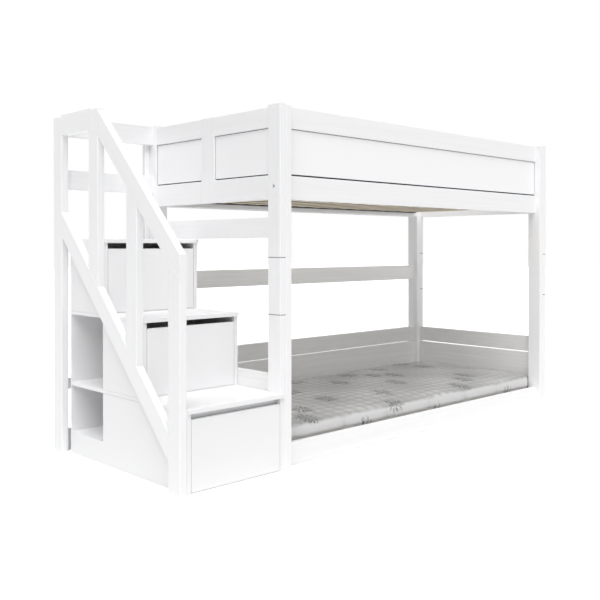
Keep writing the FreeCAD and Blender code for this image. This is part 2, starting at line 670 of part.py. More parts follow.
handrail_under = "rail_rise - slope_depth"
skirt_under = "skirt_rise - slope_depth"
railing_plank("newel_post", [
    ("front", 0), ("front + plank_width", 0),
    on_slope("front + plank_width", handrail_under), on_slope("front", handrail_under)])
railing_plank("handrail", [
    on_slope("front", handrail_under), on_slope("platform_front", handrail_under),
    on_slope("platform_front", "rail_rise"), on_slope("front", "rail_rise")])
railing_plank("skirt_rail", [
    on_slope("front + plank_width", skirt_under), on_slope("post_back", skirt_under),
    on_slope("post_back", "skirt_rise"), on_slope("front + plank_width", "skirt_rise")])
railing_plank("baluster", [
    on_slope("baluster_front", "skirt_rise"),
    on_slope("baluster_front + plank_width", "skirt_rise"),
    on_slope("baluster_front + plank_width", handrail_under),
    on_slope("baluster_front", handrail_under)])
railing_plank("platform_post", [
    on_slope("platform_front", "skirt_rise"),
    on_slope("platform_front + plank_width", "skirt_rise"),
    ("platform_front + plank_width", "railing_height"), ("platform_front", "railing_height")])
node("rear_post", [board("rear_post", ("railing_left", "post_back", 0),
                         ("plank_thick", "plank_width", "railing_height"))])
platform_rail_low = "platform_rail_top - platform_rail"
node("platform_side_rail", [board(
    "platform_side_rail",
    ("railing_left", "platform_front + plank_width", platform_rail_low),
    ("plank_thick", "post_back - platform_front - plank_width", "platform_rail"))])

back_span = "bed_left - cabinet_left"
node("platform_back_rails", [
    board("platform_top_rail", ("cabinet_left", "guard_front", platform_rail_low),
          (back_span, "guard_rail_thick", "platform_rail")),
    board("platform_mid_rail", ("cabinet_left", "guard_front", "platform_mid_low"),
          (back_span, "guard_rail_thick", "platform_mid"))])
node("rear_tie_rails", [
    board("rear_low_rail", ("cabinet_left", "guard_front", 0),
          (back_span, "guard_rail_thick", "rear_low_rail"), "Chamfer"),
    board("rear_mid_rail", ("cabinet_left", "guard_front", "rear_mid_low"),
          (back_span, "guard_rail_thick", "rear_mid_rail"), "Chamfer")])
node("rear_upright", [board(
    "rear_upright", ("bed_left - guard_rail_thick", "guard_front + guard_rail_thick", 0),
    ("guard_rail_thick", "guard_rail_back", "platform_rail_top"), "Chamfer")])

# ---------------------------------------------------------------- check and write
doc.recompute()
for item in doc.Objects:
    if "Invalid" in item.State or "Error" in item.State:
        raise RuntimeError(f"{item.Label} failed: {item.State}")
for label, piece in nodes.items():
    if piece.Shape.isNull() or not piece.Shape.isValid() or not piece.Shape.Solids:
        raise RuntimeError(f"{label} has no valid solid")

os.makedirs("parts", exist_ok=True)
for label, piece in nodes.items():
    piece.Shape.exportStep(f"parts/{label}.step")
print(len(nodes), "sub-parts,", sum(len(piece.Shape.Solids) for piece in nodes.values()), "solids")
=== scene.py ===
import math

import bpy
import numpy as np
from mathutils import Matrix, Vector


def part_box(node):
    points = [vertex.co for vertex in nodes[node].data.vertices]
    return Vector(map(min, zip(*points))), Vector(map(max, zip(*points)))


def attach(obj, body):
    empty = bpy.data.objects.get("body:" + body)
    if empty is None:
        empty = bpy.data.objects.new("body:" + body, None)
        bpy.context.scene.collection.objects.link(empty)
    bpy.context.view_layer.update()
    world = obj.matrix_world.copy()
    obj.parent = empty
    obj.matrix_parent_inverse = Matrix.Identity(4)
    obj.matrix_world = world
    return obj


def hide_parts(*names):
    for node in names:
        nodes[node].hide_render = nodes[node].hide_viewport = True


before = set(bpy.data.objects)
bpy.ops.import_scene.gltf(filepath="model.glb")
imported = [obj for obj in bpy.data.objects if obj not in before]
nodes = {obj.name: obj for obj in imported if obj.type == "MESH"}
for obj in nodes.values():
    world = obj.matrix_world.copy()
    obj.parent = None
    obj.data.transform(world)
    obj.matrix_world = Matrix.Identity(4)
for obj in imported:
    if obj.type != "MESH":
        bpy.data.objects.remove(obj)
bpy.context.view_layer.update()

# ------------------------------------------------------------------ posts
# Each post is a pair of planed pine planks, sprayed with satin white lacquer
# until the grain is only a faint relief. The outer plank is in three lengths,
# which meet in hairline joints.
INNER_PLANKS = ["post_inner_front_left", "post_inner_front_right", "post_inner_back_left",
                "post_inner_back_right"]
OUTER_PLANKS = ["post_outer_upper_planks", "post_outer_middle_planks",
                "post_outer_lower_planks"]
LACQUER, LACQUER_IN_PORES = "#F4F4F5", "#F1F1F2"
JOINT, JOINT_HALF_WIDTH = "#4A4A48", 0.0014    # wider than the real hairline, so it shows
RING_WIDTH = 0.011          # growth rings are 2 to 4 mm wide; drawn coarser, so they show
RING_LENGTH = 0.55
STANDING = (0, -math.pi / 2, 0)
LENGTHWAYS = (0, 0, 0)
CROSSWAYS = (0, 0, math.pi / 2)


def linear(hex_colour):
    """An sRGB hex colour as the linear RGBA that a shader takes."""
    channels = [int(hex_colour[at:at + 2], 16) / 255 for at in (1, 3, 5)]
    return [c / 12.92 if c <= 0.04045 else ((c + 0.055) / 1.055) ** 2.4 for c in channels] + [1]


def put(tree, kind, inputs=None, **settings):
    """Add one node. inputs names its sockets, each with a value or with the output to link."""
    node = tree.nodes.new(kind)
    for name, setting in settings.items():
        setattr(node, name, setting)
    for name, value in (inputs or {}).items():
        socket = node.inputs[name]
        if isinstance(value, bpy.types.NodeSocket):
            tree.links.new(value, socket)
        else:
            socket.default_value = value
    return node


def new_material(name):
    """An empty material and its tree."""
    material = bpy.data.materials.new(name)
    material.use_nodes = True
    material.node_tree.nodes.clear()
    return material, material.node_tree


def cover(names, material):
    """Give these nodes the material."""
    for name in names:
        nodes[name].data.materials.clear()
        nodes[name].data.materials.append(material)


def lacquered_pine(name, lie, colour=LACQUER, joints=()):
    """White satin lacquer over pine. lie turns the grain's length onto the board's.
    joints are the heights at which two lengths of plank meet."""
    material, tree = new_material(name)
    place = put(tree, "ShaderNodeTexCoord").outputs["Object"]
    along = put(tree, "ShaderNodeMapping",
                {"Vector": place, "Rotation": lie,
                 "Scale": (RING_LENGTH, RING_WIDTH, RING_WIDTH)},
                vector_type="TEXTURE")
    rings = put(tree, "ShaderNodeTexNoise",
                {"Vector": along.outputs[0], "Scale": 1, "Detail": 5, "Roughness": 0.62,
                 "Distortion": 0.6})
    pores = put(tree, "ShaderNodeMapRange",
                {"Value": rings.outputs["Fac"], "From Min": 0.42, "From Max": 0.68})
    tint = put(tree, "ShaderNodeMix",
               {6: linear(colour), 7: linear(LACQUER_IN_PORES), 0: pores.outputs[0]},
               data_type="RGBA")
    height = put(tree, "ShaderNodeSeparateXYZ", {"Vector": place})
    for joint in joints:
        line = put(tree, "ShaderNodeMath",
                   {0: height.outputs["Z"], 1: joint, 2: JOINT_HALF_WIDTH}, operation="COMPARE")
        tint = put(tree, "ShaderNodeMix",
                   {6: tint.outputs[2], 7: linear(JOINT), 0: line.outputs[0]}, data_type="RGBA")
    sheen = put(tree, "ShaderNodeMapRange",
                {"Value": rings.outputs["Fac"], "From Min": 0.3, "From Max": 0.7,
                 "To Min": 0.34, "To Max": 0.44})
    relief = put(tree, "ShaderNodeBump",
                 {"Height": rings.outputs["Fac"], "Strength": 0.12, "Distance": 0.0004})
    shader = put(tree, "ShaderNodeBsdfPrincipled",
                 {"Base Color": tint.outputs[2], "Roughness": sheen.outputs[0],
                  "Normal": relief.outputs[0], "IOR": 1.5})
    put(tree, "ShaderNodeOutputMaterial", {"Surface": shader.outputs[0]})
    return material


standing_pine = lacquered_pine("lacquered_pine_standing", STANDING)
cover(INNER_PLANKS, standing_pine)
joint_low, joint_high = (corner.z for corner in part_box("post_outer_middle_planks"))
cover(OUTER_PLANKS,
      lacquered_pine("lacquered_pine_jointed", STANDING, joints=(joint_low, joint_high)))

# ------------------------------------------------------------------ rails of the bed
# Pine rails in the same lacquer, planed and with their long edges sanded
# round. They are bolted between the posts.
RAILS_LENGTHWAYS = [
    "guard_front_bottom_rail", "guard_front_top_rail", "guard_back_bottom_rail",
    "guard_back_top_rail", "base_rail_front", "base_rail_back",
]
RAILS_CROSSWAYS = ["end_left_rails", "end_right_rails", "knee_rail"]
STILES = ["end_left_stile", "end_right_stile"]

pine_lengthways = lacquered_pine("lacquered_pine_lengthways", LENGTHWAYS)
pine_crossways = lacquered_pine("lacquered_pine_crossways", CROSSWAYS)
cover(RAILS_LENGTHWAYS, pine_lengthways)
cover(RAILS_CROSSWAYS, pine_crossways)
cover(STILES, standing_pine)

# ------------------------------------------------------------------ guard and end panels
# Thin fibreboard panels, tongued into the rails, filled and lacquered white.
# With no grain under it, the lacquer shows only a soft orange peel. The groove
# round each panel and the lower edge of a guard panel's face are painted near
# black: painted shade for the shadow gap.
PANELS = ["guard_front_panel", "guard_back_panel", "end_left_panels", "end_right_panels"]
PANEL_LACQUER = "#F8F8F9"
LOW_REVEAL = 0.006          # the shadow gap under a panel's face
PEEL_SIZE = 0.006           # orange peel is about 2 mm; drawn coarser, so it shows
GROOVE_SHADE = "#191817"          # painted shade: the groove round a panel, drawn near black
ARRIS_SHADE = 0.0017         # painted shade too: the lower edge of a guard panel's face, drawn near black
FACE_SKIN = 0.0004          # keeps a panel's two faces out of its groove
BOARD_ROUGHNESS = 0.4


def lacquered_board(name, colour, roughness, faces=None, shade_below=0):
    """Satin lacquer on fibreboard, with a faint orange peel. faces are an axis and the
    places of a panel's two faces on it: what lies between them, the groove, is painted
    near black as shade, and so is what lies below the height given last."""
    material, tree = new_material(name)
    place = put(tree, "ShaderNodeTexCoord").outputs["Object"]
    peel = put(tree, "ShaderNodeTexNoise",
               {"Vector": place, "Scale": 1 / PEEL_SIZE, "Detail": 2, "Roughness": 0.4})
    cloud = put(tree, "ShaderNodeTexNoise",
                {"Vector": place, "Scale": 3, "Detail": 3, "Roughness": 0.5})
    sheen = put(tree, "ShaderNodeMapRange",
                {"Value": cloud.outputs["Fac"], "From Min": 0.3, "From Max": 0.7,
                 "To Min": roughness - 0.04, "To Max": roughness + 0.04})
    relief = put(tree, "ShaderNodeBump",
                 {"Height": peel.outputs["Fac"], "Strength": 0.15, "Distance": 0.0002})
    shader = put(tree, "ShaderNodeBsdfPrincipled",
                 {"Base Color": linear(colour), "Roughness": sheen.outputs[0],
                  "Normal": relief.outputs[0], "IOR": 1.5})
    if faces:
        axis, near, far = faces
        depth = put(tree, "ShaderNodeSeparateXYZ", {"Vector": place})
        groove = put(tree, "ShaderNodeMath",
                     {0: depth.outputs[axis], 1: (near + far) / 2,
                      2: (far - near) / 2 - FACE_SKIN}, operation="COMPARE")
        arris = put(tree, "ShaderNodeMath", {0: depth.outputs["Z"], 1: shade_below},
                    operation="LESS_THAN")
        painted_shade = put(tree, "ShaderNodeMath", {0: groove.outputs[0], 1: arris.outputs[0]},
                   operation="MAXIMUM")
        # Painted shade: the groove and the strip at the lower edge are drawn near black.
        tint = put(tree, "ShaderNodeMix",
                   {6: linear(colour), 7: linear(GROOVE_SHADE), 0: painted_shade.outputs[0]}, data_type="RGBA")
        tree.links.new(tint.outputs[2], shader.inputs["Base Color"])
    put(tree, "ShaderNodeOutputMaterial", {"Surface": shader.outputs[0]})
    return material


guard_face_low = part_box("guard_front_bottom_rail")[1].z + LOW_REVEAL
for panel in PANELS:
    axis, shade_below = ("Y", guard_face_low + ARRIS_SHADE) if "guard" in panel else ("X", 0)
    near, far = (getattr(corner, axis.lower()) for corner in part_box(panel))
    cover([panel], lacquered_board(panel + "_lacquer", PANEL_LACQUER, BOARD_ROUGHNESS,
                                   (axis, near, far), shade_below))

# ------------------------------------------------------------------ wall boards
# Wide pine boards round the lower bunk, two high, and the rail behind them.
# Their lacquer is painted greyer than the frame's: painted shade for the inside of the lower
# bunk.
SHADED_LACQUER = "#E9E9E8"
cover(["wall_boards_back", "back_rail"],
      lacquered_pine("shaded_lacquer_lengthways", LENGTHWAYS, SHADED_LACQUER))
cover(["wall_boards_left", "wall_boards_right"],
      lacquered_pine("shaded_lacquer_crossways", CROSSWAYS, SHADED_LACQUER))

# ------------------------------------------------------------------ slats and ledgers
# The slats are bare planed pine with a knot here and there; their side faces
# and ends are painted darker, as painted shade between the slats. Two
# countersunk screws at each end hold a slat to its lacquered ledger, and a
# black webbing strap under the slats keeps them apart; its near black also
# draws the shadow line along the ledgers, as painted shade.
# The last colour is painted shade: it draws the slats' side faces and ends darker.
SAPWOOD, LATEWOOD, KNOT, SLAT_SIDE_SHADE = "#E6DAC4", "#C4B499", "#7C5F45", "#5A5245"
SLAT_RING_WIDTH = 0.009     # rings are 2 to 3 mm wide; drawn coarser, so they show
SLAT_RING_LENGTH = 0.45
KNOT_SPACING = 0.35
SLAT_PITCH, SLAT_COUNT, SLAT_WIDTH = 0.113, 17, 0.068
LEDGER_WIDTH = 0.024
SCREW_RADIUS, SCREW_DEPTH = 0.0042, 0.003
SCREW_PROUD = 0.0006        # the height of its head over the slat
SCREW_SPREAD, SCREW_FROM_END = 0.034, 0.012
RIM, DISH, DISH_DEPTH, DRIVE_DEPTH = 0.0009, 0.0014, 0.0003, 0.0012    # of a screw's head
# The strap's near black is partly painted shade: it draws the dark line along the ledgers under
# the slats.
STRAP_WIDTH, STRAP_THICK, STRAP_GAP, STRAP_EDGE = 0.022, 0.005, 0.0005, 0.0006
WEBBING_BLACK_AND_SHADE, WEBBING_RIBS = "#121213", "#262628"
RIB_SCALE = 160             # ribs 2 mm apart
SMOOTH_BELOW = math.radians(35)


def bare_pine(name, lie):
    """Planed pine with rings and knots, and side faces and ends painted darker as shade.
    lie turns the grain's length onto the board's."""
    material, tree = new_material(name)
    surface = put(tree, "ShaderNodeTexCoord")
    place = surface.outputs["Object"]
    along = put(tree, "ShaderNodeMapping",
                {"Vector": place, "Rotation": lie,
                 "Scale": (SLAT_RING_LENGTH, SLAT_RING_WIDTH, SLAT_RING_WIDTH)},
                vector_type="TEXTURE")
    rings = put(tree, "ShaderNodeTexNoise",
                {"Vector": along.outputs[0], "Scale": 1, "Detail": 6, "Roughness": 0.65,
                 "Distortion": 0.8})
    late = put(tree, "ShaderNodeMapRange",
               {"Value": rings.outputs["Fac"], "From Min": 0.4, "From Max": 0.66})
    wood = put(tree, "ShaderNodeMix",
               {6: linear(SAPWOOD), 7: linear(LATEWOOD), 0: late.outputs[0]}, data_type="RGBA")
    knots = put(tree, "ShaderNodeTexVoronoi",
                {"Vector": place, "Scale": 1 / KNOT_SPACING, "Randomness": 1})
    knot_mask = put(tree, "ShaderNodeMapRange",
                    {"Value": knots.outputs["Distance"], "From Min": 0.045, "From Max": 0.02})
    with_knots = put(tree, "ShaderNodeMix",
                     {6: wood.outputs[2], 7: linear(KNOT), 0: knot_mask.outputs[0]},
                     data_type="RGBA")
    # Painted shade: faces that point neither up nor down are drawn darker.
    facing = put(tree, "ShaderNodeSeparateXYZ", {"Vector": surface.outputs["Normal"]})
    flat = put(tree, "ShaderNodeMath", {0: facing.outputs["Z"]}, operation="ABSOLUTE")
    side_face_mask = put(tree, "ShaderNodeMath", {0: flat.outputs[0], 1: 0.5}, operation="LESS_THAN")
    with_side_shade = put(tree, "ShaderNodeMix",
                   {6: with_knots.outputs[2], 7: linear(SLAT_SIDE_SHADE), 0: side_face_mask.outputs[0]},
                   data_type="RGBA")
    relief = put(tree, "ShaderNodeBump",
                 {"Height": rings.outputs["Fac"], "Strength": 0.35, "Distance": 0.0006})
    shader = put(tree, "ShaderNodeBsdfPrincipled",
                 {"Base Color": with_side_shade.outputs[2], "Roughness": 0.68,
                  "Normal": relief.outputs[0], "IOR": 1.5})
    put(tree, "ShaderNodeOutputMaterial", {"Surface": shader.outputs[0]})
    return material


cover(["upper_slats", "lower_slats"], bare_pine("planed_pine_slats", CROSSWAYS))
cover(["upper_ledgers", "lower_ledgers"], pine_lengthways)



def apply_modifier(piece, kind, **settings):
    """Add one modifier, set it, and make it permanent."""
    bpy.context.view_layer.objects.active = piece
    modifier = piece.modifiers.new(kind.lower(), kind)
    for name, setting in settings.items():
        setattr(modifier, name, setting)
    bpy.ops.object.modifier_apply(modifier=modifier.name)


def repeat(piece, count, step):
    """Copy the piece's mesh count times, step apart."""
    apply_modifier(piece, "ARRAY", count=count, use_relative_offset=False,
                   use_constant_offset=True, constant_offset_displace=step)


slats_low, slats_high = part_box("upper_slats")
bpy.ops.object.select_all(action="DESELECT")
bpy.ops.mesh.primitive_cylinder_add(vertices=16, radius=SCREW_RADIUS, depth=SCREW_DEPTH)
screws = bpy.context.object
screws.name = "slat_screws"
screws.location = (slats_low.x + SLAT_WIDTH / 2 - SCREW_SPREAD / 2,
                   slats_low.y + SCREW_FROM_END,
                   slats_high.z + SCREW_PROUD - SCREW_DEPTH / 2)
bpy.ops.object.transform_apply(location=True)
bpy.ops.object.mode_set(mode="EDIT")
bpy.ops.mesh.select_mode(type="FACE")
bpy.ops.mesh.select_all(action="DESELECT")
bpy.ops.object.mode_set(mode="OBJECT")
for face in screws.data.polygons:
    face.select = face.normal.z > 0.9
bpy.ops.object.mode_set(mode="EDIT")
bpy.ops.mesh.inset(thickness=RIM, depth=0)
bpy.ops.mesh.inset(thickness=DISH, depth=-DISH_DEPTH)
bpy.ops.mesh.extrude_region_shrink_fatten(
    TRANSFORM_OT_shrink_fatten={"value": -DRIVE_DEPTH})
bpy.ops.object.mode_set(mode="OBJECT")
repeat(screws, 2, (SCREW_SPREAD, 0, 0))
repeat(screws, SLAT_COUNT, (SLAT_PITCH, 0, 0))
repeat(screws, 2, (0, slats_high.y - slats_low.y - 2 * SCREW_FROM_END, 0))
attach(screws, "bed_frame")


def black_webbing(name):
    """Woven polypropylene strap with a coarse diagonal weave, near black; the black is partly
    painted shade, for the line along the ledgers.
    """
    material, tree = new_material(name)
    place = put(tree, "ShaderNodeTexCoord").outputs["Object"]
    slant = put(tree, "ShaderNodeMapping", {"Vector": place, "Rotation": (0, 0, math.pi / 4)})
    weave = put(tree, "ShaderNodeTexWave", {"Vector": slant.outputs[0], "Scale": RIB_SCALE})
    tint = put(tree, "ShaderNodeMix",
               {6: linear(WEBBING_BLACK_AND_SHADE), 7: linear(WEBBING_RIBS), 0: weave.outputs["Fac"]},
               data_type="RGBA")
    relief = put(tree, "ShaderNodeBump",
                 {"Height": weave.outputs["Fac"], "Strength": 0.4, "Distance": 0.0004})
    shader = put(tree, "ShaderNodeBsdfPrincipled",
                 {"Base Color": tint.outputs[2], "Roughness": 0.75, "Sheen Weight": 0.1,
                  "Normal": relief.outputs[0], "IOR": 1.5})
    put(tree, "ShaderNodeOutputMaterial", {"Surface": shader.outputs[0]})
    return material


def strip(name, low, high, edge, material):
    """A strip between two corners, with its edges bevelled, on the bed frame."""
    bpy.ops.object.select_all(action="DESELECT")
    bpy.ops.mesh.primitive_cube_add(size=1)
    piece = bpy.context.object
    piece.name = name
    piece.location = (Vector(low) + Vector(high)) / 2
    piece.scale = Vector(high) - Vector(low)
    bpy.ops.object.transform_apply(location=True, rotation=True, scale=True)
    bpy.ops.object.mode_set(mode="EDIT")
    bpy.ops.mesh.select_all(action="SELECT")
    bpy.ops.mesh.bevel(offset=edge, segments=2, affect="EDGES")
    bpy.ops.object.mode_set(mode="OBJECT")
    bpy.ops.object.shade_smooth_by_angle(angle=SMOOTH_BELOW)
    piece.data.materials.append(material)
    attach(piece, "bed_frame")


webbing = black_webbing("polypropylene_webbing")
ledgers_low, ledgers_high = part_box("upper_ledgers")
for side, near in (("front", ledgers_low.y + LEDGER_WIDTH + STRAP_GAP),
                   ("back", ledgers_high.y - LEDGER_WIDTH - STRAP_GAP - STRAP_WIDTH)):
    strip("slat_strap_" + side,
          (slats_low.x, near, slats_low.z - STRAP_THICK),
          (slats_high.x, near + STRAP_WIDTH, slats_low.z),
          STRAP_EDGE, webbing)

# ------------------------------------------------------------------ bolts and slides
# Zinc-plated steel: the bolts' heads with their hexagon sockets, the rolled
# channels and runners that carry the drawers, and the slats' screws.
STEEL_PARTS = ["frame_bolts", "slide_channels", "drawer_1_runners", "drawer_2_runners",
               "drawer_3_runners"]
ZINC_DULL, ZINC_BRIGHT = "#A9ABAD", "#C3C5C7"
SPANGLE = 0.004             # the plating's crystals are under 1 mm; drawn coarser


def zinc_plate(name):
    """Bright zinc plate, slightly blue, clouded by handling."""
    material, tree = new_material(name)
    place = put(tree, "ShaderNodeTexCoord").outputs["Object"]
    spangle = put(tree, "ShaderNodeTexNoise",
                  {"Vector": place, "Scale": 1 / SPANGLE, "Detail": 3, "Roughness": 0.6})
    tint = put(tree, "ShaderNodeMix",
               {6: linear(ZINC_DULL), 7: linear(ZINC_BRIGHT), 0: spangle.outputs["Fac"]},
               data_type="RGBA")
    sheen = put(tree, "ShaderNodeMapRange",
                {"Value": spangle.outputs["Fac"], "To Min": 0.28, "To Max": 0.46})
    shader = put(tree, "ShaderNodeBsdfPrincipled",
                 {"Base Color": tint.outputs[2], "Metallic": 1, "Roughness": sheen.outputs[0]})
    put(tree, "ShaderNodeOutputMaterial", {"Surface": shader.outputs[0]})
    return material


zinc = zinc_plate("zinc_plated_steel")
cover(STEEL_PARTS, zinc)
screws.data.materials.append(zinc)

# ------------------------------------------------------------------ mattress
# A foam core in a pale grey knitted cover, quilted to a thin wadding in small
# puffs. Its edges are rolled, its corners give way round the inner post planks,
# and loose bursts of strokes are printed on it. It is thinner than its solid.
COVER_HEIGHT = 0.087        # over the slats, at the walls
CROWN = 0.010               # how much higher it is in the middle
EDGE_ROUND = 0.038          # radius of the foam's edges
NOTCH_PLAY = 0.003          # round the post planks at the corners
SWELL_ROOM = 0.004          # the core starts smaller by this, because the cover swells
SWELL_LIMIT, SWELL_FRAMES = 0.006, 20
VOXEL = 0.013
PUFF, PUFF_HEIGHT = 0.060, 0.0095
PUFF_SWAY = 0.010           # how far the seams wander
PUFF_LEAST, PUFF_SPREAD = 0.65, 0.35    # how full the puffs are, and how much that varies
PUFF_FADE = 1.5             # how soon the puffs fade over the edge
FOLD_PITCH, FOLD_DEPTH, FOLD_SHARPNESS = 0.31, 0.008, 20
TUCK_HEIGHT, TUCK = 0.036, 0.008    # the cover draws in where it goes under
# The top's knit, and more so the seams between its puffs, are painted darker than the sides:
# painted shade under the upper bunk and in the seams.
KNIT_SHADED_TOP, KNIT_SEAM_SHADE, KNIT_ON_SIDES = "#C3C3C2", "#989897", "#CFCFCF"
KNIT_PITCH = 0.004          # stitches are 1 mm apart; drawn coarser, so they show
PRINT, PRINT_SPACING, PRINT_RADIUS = "#2E3032", 0.29, 0.055
PRINT_STROKES = 13
PRINT_STRETCH = 0.7         # how wide a burst is for its length across the bed

low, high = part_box("mattress")
post_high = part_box("post_inner_front_left")[1]
notch = (post_high.x - low.x + NOTCH_PLAY, post_high.y - low.y + NOTCH_PLAY)
core_low = low + Vector((SWELL_ROOM, SWELL_ROOM, 0))
core_high = Vector((high.x - SWELL_ROOM, high.y - SWELL_ROOM,
                    low.z + COVER_HEIGHT - SWELL_ROOM))

bpy.ops.object.select_all(action="DESELECT")
bpy.ops.mesh.primitive_plane_add(size=1)
mattress = bpy.context.object
mattress.name = "mattress_cover"
mattress.location = ((core_low.x + core_high.x) / 2, (core_low.y + core_high.y) / 2,
                     core_low.z)
mattress.scale = (core_high.x - core_low.x, core_high.y - core_low.y, 1)
bpy.ops.object.transform_apply(location=True, rotation=True, scale=True)
bpy.ops.object.mode_set(mode="EDIT")
for axis in (0, 1):
    for cut in (low[axis] + notch[axis], high[axis] - notch[axis]):
        bpy.ops.mesh.select_all(action="SELECT")
        normal = Vector((axis == 0, axis == 1, 0))
        bpy.ops.mesh.bisect(plane_co=normal * cut, plane_no=normal)
bpy.ops.mesh.select_mode(type="FACE")
bpy.ops.mesh.select_all(action="DESELECT")
bpy.ops.object.mode_set(mode="OBJECT")
for face in mattress.data.polygons:
    face.select = all(
        not low[axis] + notch[axis] < face.center[axis] < high[axis] - notch[axis]
        for axis in (0, 1))
bpy.ops.object.mode_set(mode="EDIT")
bpy.ops.mesh.delete(type="FACE")
bpy.ops.mesh.select_all(action="SELECT")
bpy.ops.mesh.extrude_region_move(
    TRANSFORM_OT_translate={"value": (0, 0, core_high.z - core_low.z)})
bpy.ops.mesh.select_all(action="SELECT")
bpy.ops.mesh.normals_make_consistent(inside=False)
bpy.ops.object.mode_set(mode="OBJECT")
apply_modifier(mattress, "BEVEL", width=EDGE_ROUND, segments=5, limit_method="ANGLE")
apply_modifier(mattress, "REMESH", mode="VOXEL", voxel_size=VOXEL, use_smooth_shade=True)


def coordinates(mesh):
    """The mesh's points as an array of rows."""
    flat = np.empty(len(mesh.vertices) * 3)
    mesh.vertices.foreach_get("co", flat)
    return flat.reshape(-1, 3)


def set_coordinates(mesh, points):
    """Write the rows back as the mesh's points."""
    mesh.vertices.foreach_set("co", points.ravel())
    mesh.update()


flat_shape = coordinates(mattress.data)
swelling = mattress.modifiers.new("swelling", "CLOTH")
swelling.settings.quality = 6
swelling.settings.mass = 0.2
swelling.settings.tension_stiffness = 20
swelling.settings.compression_stiffness = 20
swelling.settings.bending_stiffness = 4
swelling.settings.use_pressure = True
swelling.settings.uniform_pressure_force = 4
swelling.settings.effector_weights.gravity = 0
swelling.collision_settings.use_collision = False
for step in range(1, SWELL_FRAMES + 1):
    bpy.context.scene.frame_set(step)
swollen = bpy.data.meshes.new_from_object(
    mattress.evaluated_get(bpy.context.evaluated_depsgraph_get()))
moved = coordinates(swollen) - flat_shape
far = np.linalg.norm(moved, axis=1, keepdims=True)
moved *= np.minimum(1, SWELL_LIMIT / np.maximum(far, 1e-9))
mattress.modifiers.remove(swelling)
set_coordinates(mattress.data, flat_shape + moved)
bpy.data.meshes.remove(swollen)
bpy.context.scene.frame_set(1)

apply_modifier(mattress, "SUBSURF", levels=1, render_levels=1)

points = coordinates(mattress.data)
normals = np.empty(len(points) * 3)
mattress.data.vertices.foreach_get("normal", normals)
normals = normals.reshape(-1, 3)
facing_up = np.clip(normals[:, 2], 0, 1) ** PUFF_FADE
upright = np.clip(1 - np.abs(normals[:, 2]), 0, 1)
middle, half = (np.array(high) + np.array(low)) / 2, (np.array(high) - np.array(low)) / 2
from_middle = np.clip(((points - middle) / half)[:, :2] ** 2, 0, 1)
raised = np.clip((points[:, 2] - low.z) / COVER_HEIGHT, 0, 1)
points[:, 2] += CROWN * raised * (1 - from_middle[:, 0]) * (1 - from_middle[:, 1])


def wave(along_x, along_y, start=0.0):
    """A ripple over the cover, in radians per metre along each side."""
    return np.sin(along_x * points[:, 0] + along_y * points[:, 1] + start)


sway_x = PUFF_SWAY * (wave(3.3, 9.1) + 0.5 * wave(-7, 23))
sway_y = PUFF_SWAY * (wave(6.7, 0, 2.1) + 0.5 * wave(17, 5))
fullness = PUFF_LEAST + PUFF_SPREAD * wave(11, 0, 4) * wave(0, 13, 1)
loft = fullness * np.sqrt(np.abs(np.sin(math.pi * (points[:, 0] + sway_x) / PUFF)
                                 * np.sin(math.pi * (points[:, 1] + sway_y) / PUFF)))
along_edge = math.pi * (points[:, 0] + points[:, 1] + sway_y) / FOLD_PITCH
fold = (np.abs(np.sin(along_edge)) ** FOLD_SHARPNESS
        * FOLD_DEPTH * np.clip(2 * upright, 0, 1))
under = np.clip((low.z + TUCK_HEIGHT - points[:, 2]) / TUCK_HEIGHT * 2, 0, 1)
points += normals * (loft * facing_up * PUFF_HEIGHT - fold - TUCK * upright * under)[:, None]
points = np.clip(points, list(low), list(high))
set_coordinates(mattress.data, points)
bpy.ops.object.shade_smooth()

# The print and the seams follow the cloth over the edge, so each point keeps
# its place on the cover laid flat, with its loft as the third number. A mask
# is 1 on the quilted top and 0 on the plain sides; it paints the top darker,
# as painted shade.
depth = np.clip(points[:, 2].max() - PUFF_HEIGHT - points[:, 2], 0, None)[:, None]
laid_flat = points.copy()
laid_flat[:, :2] += np.sign(normals[:, :2]) * normals[:, :2] ** 2 * depth
laid_flat[:, 2] = loft
mattress.data.attributes.new("laid_flat", "FLOAT_VECTOR", "POINT").data.foreach_set(
    "vector", laid_flat.ravel())
mattress.data.attributes.new("top_shade_mask", "FLOAT", "POINT").data.foreach_set(
    "value", np.clip(facing_up * 1.6 - 0.3, 0, 1))


